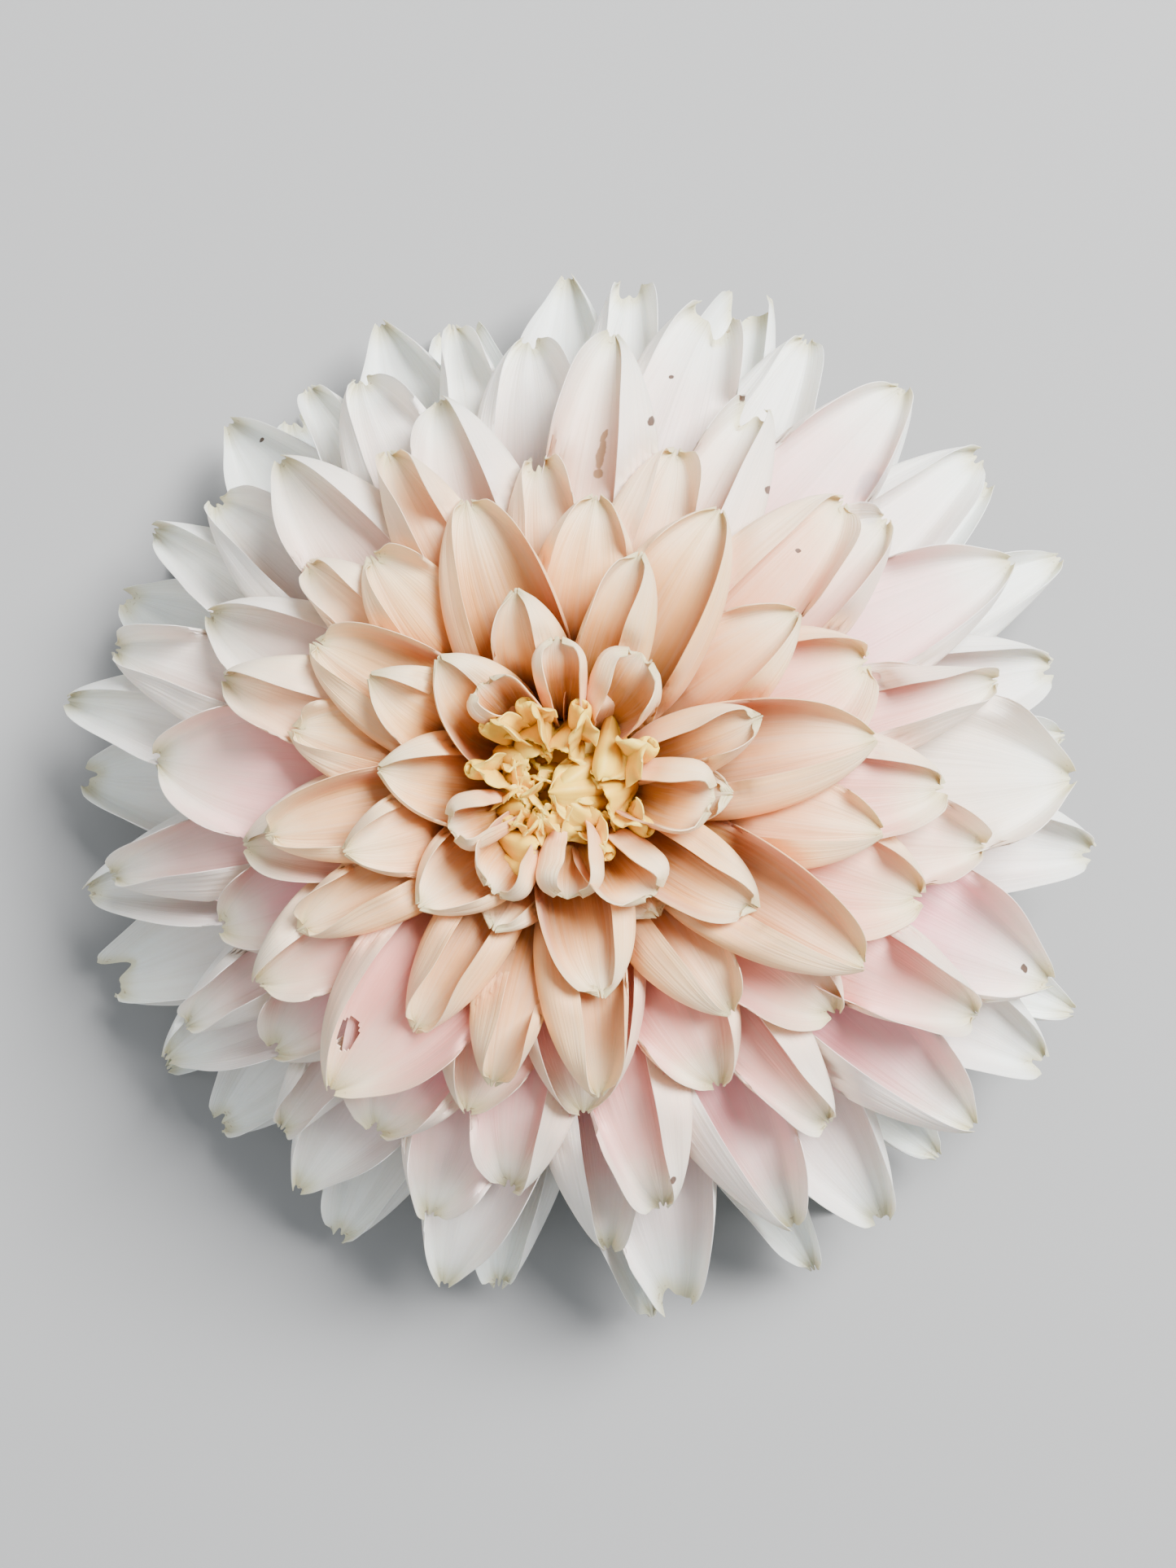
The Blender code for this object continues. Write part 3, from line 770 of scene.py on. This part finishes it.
def petal_material(name):
    """Petal skin: white towards the tip, blush then peach, then towards the base an amber that is partly
    the petal's own colour and partly painted shade; fine long veins.
    """
    w = Wiring(name)
    along, across, inside = w.field("along"), w.field("across"), w.field("inside")
    peach, blush, shade = w.field("peach"), w.field("blush"), w.field("shade")
    spread = w.math("ABSOLUTE", across)
    place = w.place()
    cloud = w.noise(place, 90.0)

    # The ground colour, from white to cream, and then the colours of the hollow from the tip inwards, the
    # last an amber that is partly the petal's own colour and partly painted shade deep in the hollow.
    drifted = w.math("ADD", along, w.math("MULTIPLY", w.math("SUBTRACT", cloud, 0.5), 0.22))
    warmth = w.math("ADD", peach, w.math("MULTIPLY", blush, 0.12), clamp=True)
    warmth = w.math("MULTIPLY", warmth, w.ramp(drifted, 1.0, 0.6, 0.6, 1.0))
    colour = w.mix(warmth, RIM_WHITE, CREAM)
    upper_skin = w.ramp(inside, 0.0, 1.0, 0.22, 1.0)
    hollow = w.math("MULTIPLY", upper_skin, w.ramp(spread, 1.0, 0.62, 0.42, 1.0))
    blushed, peachy = w.math("MULTIPLY", blush, hollow), w.math("MULTIPLY", peach, hollow)
    colour = w.mix(w.math("MULTIPLY", w.ramp(drifted, 0.93, 0.45), blushed), colour, BLUSH)
    colour = w.mix(w.math("MULTIPLY", w.ramp(drifted, 1.0, 0.45), peachy), colour, PEACH)
    # Amber deep in the hollow near the base: partly the petal's own colour, partly painted shade where it
    # dives under the petals above.
    colour = w.mix(w.math("MULTIPLY", w.ramp(drifted, 0.86, 0.36, 0.0, 0.9), peachy), colour, AMBER_AND_SHADE)
    band = w.math("MULTIPLY", w.ramp(drifted, 0.98, 0.72), w.ramp(drifted, 0.30, 0.62, 0.0, 0.28))
    colour = w.mix(w.math("MULTIPLY", band, blushed), colour, BLUSH)
    margin = w.math("MULTIPLY", w.ramp(spread, 0.45, 0.8), w.ramp(drifted, 0.95, 0.6))
    colour = w.mix(w.math("MULTIPLY", margin, w.ramp(peach, 0.0, 0.6, 0.06, 0.20)), colour, BLUSH)

    # Pale streaks, a green tip, stains that only the uppermost petals have, and brown flecks at the tip.
    bands = w.vector(w.math("MULTIPLY", across, 14.0), w.math("MULTIPLY", along, 1.3), shade)
    stripes = w.noise(bands, 1.0)
    streak = w.math("MULTIPLY", w.ramp(stripes, 0.42, 0.66), 0.16)
    colour = w.mix(streak, colour, STREAK)
    green = w.math("MULTIPLY", w.ramp(along, 0.90, 1.0), 0.6)
    colour = w.mix(green, colour, TIP_GREEN)
    for ovals, strength, stain in (
        (BRUISES, 0.55, BRUISE),
        (TAN_STAINS, 0.85, TAN),
        (BROWN_SPECKS, 0.95, BROWN),
    ):
        stained = w.math("MULTIPLY", w.spots(place, ovals), w.field("exposed"))
        colour = w.mix(w.math("MULTIPLY", stained, strength), colour, stain)
    specks = w.noise(place, 900.0, 1.0)
    tip_marks = w.math("MULTIPLY", w.ramp(specks, 0.66, 0.72), w.ramp(along, 0.93, 1.0))
    colour = w.mix(w.math("MULTIPLY", tip_marks, 0.7), colour, TIP_BROWN)
    w.plug(w.shader.inputs["Base Color"], colour)

    # Relief of veins and cells, and the satin of the skin.
    lines = w.vector(w.math("MULTIPLY", across, 26.0), w.math("MULTIPLY", along, 2.2), shade)
    veins = w.noise(lines, 1.0, 2.0)
    skin = w.noise(place, 1400.0, 2.0)
    normal = w.bump(veins, 0.8, 0.00025)
    normal = w.bump(skin, 0.12, 0.00006, normal)
    w.plug(w.shader.inputs["Normal"], normal)
    w.plug(w.shader.inputs["Roughness"], w.ramp(stripes, 0.3, 0.8, 0.46, 0.6))
    w.shader.inputs["Specular IOR Level"].default_value = 0.35
    w.shader.inputs["Subsurface Weight"].default_value = 0.2
    w.shader.inputs["Subsurface Radius"].default_value = (1.0, 0.5, 0.3)
    w.shader.inputs["Subsurface Scale"].default_value = 0.0016
    w.shader.inputs["Sheen Weight"].default_value = 0.08
    w.shader.inputs["Sheen Roughness"].default_value = 0.5
    return w.material


def floret_material(name):
    """Butter yellow skin of the florets, darker honey towards their bases that is partly their own deeper
    yellow and partly painted shade in their folds, and paler at their edges.
    """
    w = Wiring(name)
    along, across, inside = w.field("along"), w.field("across"), w.field("inside")
    spread = w.math("ABSOLUTE", across)
    cloud = w.noise(w.place(), 200.0)
    colour = w.mix(w.ramp(cloud, 0.3, 0.7), BUTTER, PALE_BUTTER)
    # Darker honey towards the base of each floret, more on its upper skin: partly its own deeper yellow,
    # partly painted shade in the folds.
    base_shade_share = w.math("MULTIPLY", w.ramp(along, 0.8, 0.3), w.ramp(inside, 0.0, 1.0, 0.5, 1.0))
    colour = w.mix(w.math("MULTIPLY", base_shade_share, 0.8), colour, HONEY_AND_SHADE)
    edge = w.math("MULTIPLY", w.ramp(spread, 0.6, 1.0), w.ramp(along, 0.3, 0.9))
    colour = w.mix(w.math("MULTIPLY", edge, 0.6), colour, BUTTER_EDGE)
    w.plug(w.shader.inputs["Base Color"], colour)
    lines = w.vector(w.math("MULTIPLY", across, 12.0), w.math("MULTIPLY", along, 2.0), w.field("shade"))
    w.plug(w.shader.inputs["Normal"], w.bump(w.noise(lines, 1.0, 2.0), 0.5, 0.0002))
    w.shader.inputs["Roughness"].default_value = 0.5
    w.shader.inputs["Specular IOR Level"].default_value = 0.35
    w.shader.inputs["Subsurface Weight"].default_value = 0.4
    w.shader.inputs["Subsurface Radius"].default_value = (1.0, 0.6, 0.25)
    w.shader.inputs["Subsurface Scale"].default_value = 0.0015
    return w.material


def green_material(name, dark, light, veined):
    """Plant tissue: two greens clouded into each other, with a fine grain, and long veins on leaves."""
    w = Wiring(name)
    place = w.place()
    cloud = w.noise(place, 160.0, 4.0)
    grain = w.noise(place, 1100.0, 2.0)
    colour = w.mix(w.ramp(cloud, 0.35, 0.68), dark, light)
    normal = w.bump(grain, 0.3, 0.0001)
    if veined:
        across, along, shade = w.field("across"), w.field("along"), w.field("shade")
        lines = w.vector(w.math("MULTIPLY", across, 11.0), w.math("MULTIPLY", along, 1.5), shade)
        veins = w.noise(lines, 1.0, 2.0)
        colour = w.mix(w.math("MULTIPLY", w.ramp(veins, 0.5, 0.7), 0.35), colour, light)
        normal = w.bump(veins, 0.6, 0.0002, normal)
    w.plug(w.shader.inputs["Base Color"], colour)
    w.plug(w.shader.inputs["Roughness"], w.ramp(grain, 0.3, 0.7, 0.42, 0.6))
    w.plug(w.shader.inputs["Normal"], normal)
    w.shader.inputs["Subsurface Weight"].default_value = 0.15
    w.shader.inputs["Subsurface Radius"].default_value = (0.5, 1.0, 0.3)
    w.shader.inputs["Subsurface Scale"].default_value = 0.001
    return w.material


def stem_material(name):
    """Fleshy green stem, whose cut end shows a pale ring of pith: pale where the height is lowest."""
    w = Wiring(name)
    place = w.place()
    split = w.tree.nodes.new("ShaderNodeSeparateXYZ")
    w.plug(split.inputs[0], place)
    cut_height = float(AXIS[2]) + (STEM_FOOT + PITH_DEPTH) * MM
    pith = w.ramp(split.outputs["Z"], cut_height + PITH_BLUR * MM, cut_height)
    cloud = w.noise(place, 160.0, 4.0)
    grain = w.noise(place, 1100.0, 2.0)
    skin = w.mix(w.ramp(cloud, 0.35, 0.68), *STEM_GREENS)
    w.plug(w.shader.inputs["Base Color"], w.mix(pith, skin, PITH))
    w.plug(w.shader.inputs["Roughness"], w.ramp(grain, 0.3, 0.7, 0.42, 0.6))
    w.plug(w.shader.inputs["Normal"], w.bump(grain, 0.3, 0.0001))
    return w.material


def whorl_petals(whorl, ring, crowd, material):
    """Lays a whorl: every other petal first, then those between them, which tuck under their edges."""
    order = [*range(0, len(whorl.petals), 2), *range(1, len(whorl.petals), 2)]
    node_per_petal = whorl.node.startswith("petal_")
    for index in order:
        bearing, reach = whorl.petals[index]
        mark = MARKS.get((whorl.name, index), Mark())
        seed = ring * SEEDS_PER_WHORL + index
        split = mark.split + (1.0 + 0.5 * ring) * max(0.0, vary(seed, 20))
        blade = Blade(
            base=(whorl.base_radius, whorl.base_height),
            tip=(reach, whorl.tip_height + 1.2 * vary(seed, 1) * (whorl.tip_height > RESTING_TIP)),
            bearing=bearing,
            rise=whorl.rise + 2.0 * vary(seed, 2),
            width=whorl.width * mark.wide * (1.0 + 0.08 * vary(seed, 3)),
            cup=whorl.cup * mark.cup * (1.0 + 0.09 * vary(seed, 4)),
            tip_cup=whorl.tip_cup * (1.0 + 0.08 * vary(seed, 5)),
            widest=0.54 + 0.04 * vary(seed, 6),
            fullness=whorl.blunt + 0.16 * vary(seed, 7),
            roll=5.0 * vary(seed, 8),
            twist=7.0 * vary(seed, 9),
            drift=4.0 * vary(seed, 10),
            lopsided=0.32 * vary(seed, 11),
            edge_curl=18.0 * vary(seed, 12),
            crease=whorl.crease + 0.07 * vary(seed, 18),
            notch=1.1 + 0.8 * vary(seed, 13) + mark.notch,
            split=split,
            tip_share=0.058 + 0.035 * vary(seed, 21) + 0.032 * split,
            split_at=0.3 * vary(seed, 19),
            hole=mark.hole,
            seed=vary(seed, 14),
        )
        finer = 2 if blade.hole else 1  # so that the rim of a hole is round
        points, s, t = blade_surface(blade, finer * ROWS, finer * COLUMNS)
        points = crowd.press(points)
        exposed = crowd.open_above(points)
        crowd.add(points)
        flushed_side = 1.0 - smooth_step(math.cos(math.radians(bearing - PALE_SIDE)) / 0.8)
        flush = LEAST_BLUSH + (1.0 - LEAST_BLUSH) * flushed_side
        tone = {
            "peach": whorl.peach * mark.peach * (1.0 + 0.15 * vary(seed, 15)),
            "blush": whorl.blush * mark.blush * flush * (1.0 + 0.3 * vary(seed, 16)),
            "shade": 7.0 * vary(seed, 17),
        }
        node = f"{whorl.node}_{index + 1:02d}" if node_per_petal else whorl.node
        name = f"{whorl.name}_petal_{index + 1:02d}"
        petal_piece(
            name, points, s, t, tone, material, node, hole=blade.hole, exposed=exposed)


def eye_pieces(florets, name, first_seed, crowd, material, node, rise, fold, tone):
    """Lays scrolls and hoods in and round the eye, each on its own foot with its own curl."""
    for index, floret in enumerate(florets):
        seed = first_seed + index
        blade = Blade(
            base=(0.0, floret.top - max(1.05 * floret.lean, SHORTEST_FLORET)),
            tip=(floret.lean, floret.top),
            bearing=floret.heading,
            rise=rise + 5.0 * vary(seed, 1),
            width=floret.width,
            cup=floret.cup,
            tip_cup=0.85 * floret.cup,
            claw=0.45,
            claw_cup=floret.cup,
            widest=0.78,
            fullness=2.4,
            tip_share=floret.blunt,
            lobe=0.4 if floret.cup > 0.0 else 1.5,
            wave=1.0,
            roll=9.0 * vary(seed, 2),
            twist=22.0 * vary(seed, 3),
            lopsided=0.32 * vary(seed, 4),
            edge_curl=35.0 * vary(seed, 5),
            crease=0.05,
            fold=fold,
            notch=0.8,
            seed=vary(seed, 6),
        )
        points, s, t = blade_surface(blade, FLORET_ROWS, FLORET_COLUMNS)
        points[..., :2] += floret.foot
        crowd.add(points[points.shape[0] // 2:])  # the feet are inside the bed and press on nothing
        shaded = {**tone, "shade": 7.0 * vary(seed, 7)}
        piece_name = f"{name}_{index + 1:02d}"
        petal_piece(piece_name, points, s, t, shaded, material, node, FLORET_THICKNESS)


# In metres, the last one from the foot of the axis.
FLOOR_REACH = 3.0
FLOOR_GAP = 0.0002
AIM = Vector((0.0, 0.0, 0.04))
CAMERA_PLACE = np.array([0.0040, 0.0007, 0.450])


def studio():
    """Plain pale floor, broad soft lights and a camera that looks straight down on the bloom's face."""
    floor_mesh = bpy.data.meshes.new("floor")
    level = cad_box[0][2] - FLOOR_GAP
    corners = [(x * FLOOR_REACH, y * FLOOR_REACH, level) for x, y in ((-1, -1), (1, -1), (1, 1), (-1, 1))]
    floor_mesh.from_pydata(corners, [], [(0, 1, 2, 3)])
    w = Wiring("floor_paint")
    w.plug(w.shader.inputs["Base Color"], FLOOR_GREY)
    w.shader.inputs["Roughness"].default_value = 0.85
    floor_mesh.materials.append(w.material)
    floor = bpy.data.objects.new("floor", floor_mesh)
    bpy.context.scene.collection.objects.link(floor)
    for name, place, size, power in (
        ("key_light", (0.75, 0.65, 1.25), 0.8, 93.0),
        ("fill_light", (-0.9, -0.2, 1.0), 1.3, 5.0),
    ):
        lamp = bpy.data.lights.new(name, "AREA")
        lamp.size = size
        lamp.energy = power
        light = bpy.data.objects.new(name, lamp)
        light.location = place
        light.rotation_euler = (AIM - Vector(place)).to_track_quat("-Z", "Y").to_euler()
        bpy.context.scene.collection.objects.link(light)
    world = bpy.data.worlds.new("sky")
    world.use_nodes = True
    background = world.node_tree.nodes["Background"]
    background.inputs["Color"].default_value = (*SKY, 1.0)
    background.inputs["Strength"].default_value = 0.5
    bpy.context.scene.world = world
    lens = bpy.data.cameras.new("camera")
    lens.sensor_fit = "AUTO"
    lens.sensor_width = 36.0
    lens.lens = 48.5
    lens.clip_start = 0.01
    camera = bpy.data.objects.new("camera", lens)
    camera.location = AXIS + CAMERA_PLACE
    bpy.context.scene.collection.objects.link(camera)
    bpy.context.scene.camera = camera


petal_slots = "petal_white", "petal_blush", "petal_peach"
petal_skin = {slot: petal_material(slot + "_skin") for slot in petal_slots}
floret_skin = floret_material("floret_skin")
crowd = Crowd()
eye_pieces(
    FLORETS, "eye_floret", FLORET_SEEDS, crowd, floret_skin, "floret_cluster",
    rise=92, fold=0.32, tone={})
eye_pieces(
    ROLLS, "rolled_petal", ROLL_SEEDS, crowd, petal_skin["petal_peach"], "whorl_h",
    rise=84, fold=0.90, tone={"peach": 2.1, "blush": 0.1})
for ring, whorl in enumerate(WHORLS):
    whorl_petals(whorl, ring, crowd, petal_skin[whorl.slot])
turned_piece(
    "floret_bed", FLORET_BED_PROFILE, floret_skin, "floret_cluster",
    ribs=7, rib_depth=0.03)

leaf_skin = green_material("leafy_bract_skin", *LEAF_GREENS, veined=True)
membrane_skin = green_material("membrane_skin", *MEMBRANE_GREENS, veined=True)
for bracts, skin in zip(BRACTS, (leaf_skin, membrane_skin)):
    bract_pieces(bracts, skin)
cup_skin = green_material("receptacle_skin", *RECEPTACLE_GREENS, veined=False)
turned_piece(
    "receptacle_body", RECEPTACLE_PROFILE, cup_skin, "receptacle",
    ribs=13, rib_depth=0.012)
stem_skin = stem_material("stem_skin")
turned_piece("stem_body", STEM_PROFILE, stem_skin, "stem_stub", ribs=8, rib_depth=0.025)

studio()
